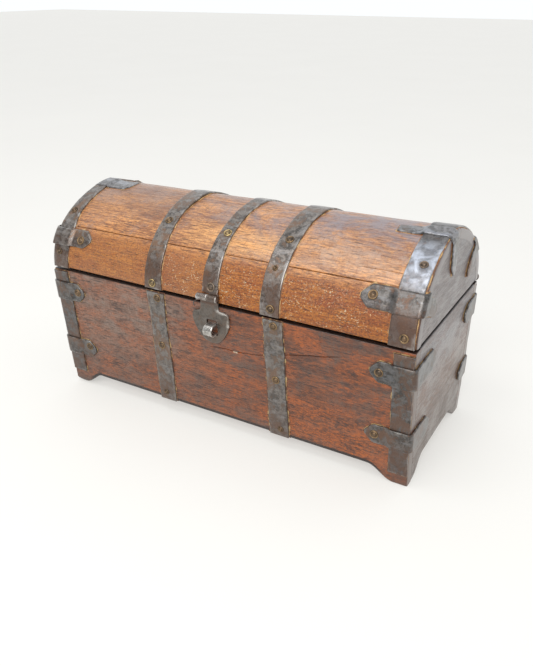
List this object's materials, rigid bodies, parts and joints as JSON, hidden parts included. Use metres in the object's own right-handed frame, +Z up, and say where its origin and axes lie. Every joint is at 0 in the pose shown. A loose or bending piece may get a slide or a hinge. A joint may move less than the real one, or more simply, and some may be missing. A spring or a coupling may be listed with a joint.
{
  "type": "wooden chest",
  "caption": "Small wooden storage chest with a barrel lid, iron straps and corner clips, bracket feet, rear hinges and a swinging hasp over a staple.",
  "frame": {"origin": "on the floor, under the middle of the chest's bounding box", "axes": "+X along the chest towards its right end as seen from the front, the front with the hasp faces -Y, +Z up"},
  "size_m": [0.3836, 0.1948, 0.2159],
  "materials": {
    "body_wood": "dark red-brown, worn satin polish over coarse open grain",
    "lid_wood": "lighter orange-brown, worn satin polish over coarse open grain",
    "strap_iron": "dark hand-forged strap iron with rust-brown patches and worn bright edges",
    "worn_iron": "handled iron, rubbed to a dull grey shine",
    "nail_iron": "domed nail heads, dark with tan rims"
  },
  "bodies": {
    "chest": {"back_band_left": "strap_iron", "back_band_right": "strap_iron", "back_board": "body_wood", "body_nail_left_lower": "nail_iron", "body_nail_left_upper": "nail_iron", "body_nail_right_lower": "nail_iron", "body_nail_right_upper": "nail_iron", "bottom_board": "body_wood", "clip_lower_back_left": "strap_iron", "clip_lower_back_right": "strap_iron", "clip_lower_front_left": "strap_iron", "clip_lower_front_right": "strap_iron", "clip_upper_back_left": "strap_iron", "clip_upper_back_right": "strap_iron", "clip_upper_front_left": "strap_iron", "clip_upper_front_right": "strap_iron", "corner_strap_back_left": "strap_iron", "corner_strap_back_right": "strap_iron", "corner_strap_front_left": "strap_iron", "corner_strap_front_right": "strap_iron", "front_band_left": "strap_iron", "front_band_right": "strap_iron", "front_board": "body_wood", "hinge_leaf_body_left": "strap_iron", "hinge_leaf_body_right": "strap_iron", "hinge_pin_left": "worn_iron", "hinge_pin_right": "worn_iron", "left_end_board": "body_wood", "right_end_board": "body_wood", "staple": "worn_iron"},
    "lid": {"hasp_pin": "worn_iron", "hinge_leaf_lid_left": "strap_iron", "hinge_leaf_lid_right": "strap_iron", "lid_band_left": "strap_iron", "lid_band_middle": "strap_iron", "lid_band_right": "strap_iron", "lid_clip_back_left": "strap_iron", "lid_clip_back_right": "strap_iron", "lid_clip_front_left": "strap_iron", "lid_clip_front_right": "strap_iron", "lid_edge_band_left": "strap_iron", "lid_edge_band_right": "strap_iron", "lid_front_plank": "lid_wood", "lid_front_rail": "lid_wood", "lid_left_end": "lid_wood", "lid_nail_edge_lower": "nail_iron", "lid_nail_edge_upper": "nail_iron", "lid_nail_left_lower": "nail_iron", "lid_nail_left_upper": "nail_iron", "lid_nail_middle_lower": "nail_iron", "lid_nail_middle_upper": "nail_iron", "lid_nail_right_lower": "nail_iron", "lid_nail_right_middle": "nail_iron", "lid_nail_right_upper": "nail_iron", "lid_rear_plank": "lid_wood", "lid_rear_rail": "lid_wood", "lid_right_end": "lid_wood", "ridge_strap_left": "strap_iron", "ridge_strap_right": "strap_iron"},
    "hasp": {"hasp_plate": "worn_iron"}
  },
  "joints": [
    {"name": "lid_hinge", "type": "hinge", "parent": "chest", "child": "lid", "pos_m": [0, 0.094, 0.1373], "axis": [-1, 0, 0], "range_deg": [0, 105]},
    {"name": "hasp_hinge", "type": "hinge", "parent": "lid", "child": "hasp", "pos_m": [-0.001, -0.0922, 0.1443], "axis": [-1, 0, 0], "range_deg": [0, 150]}
  ]
}
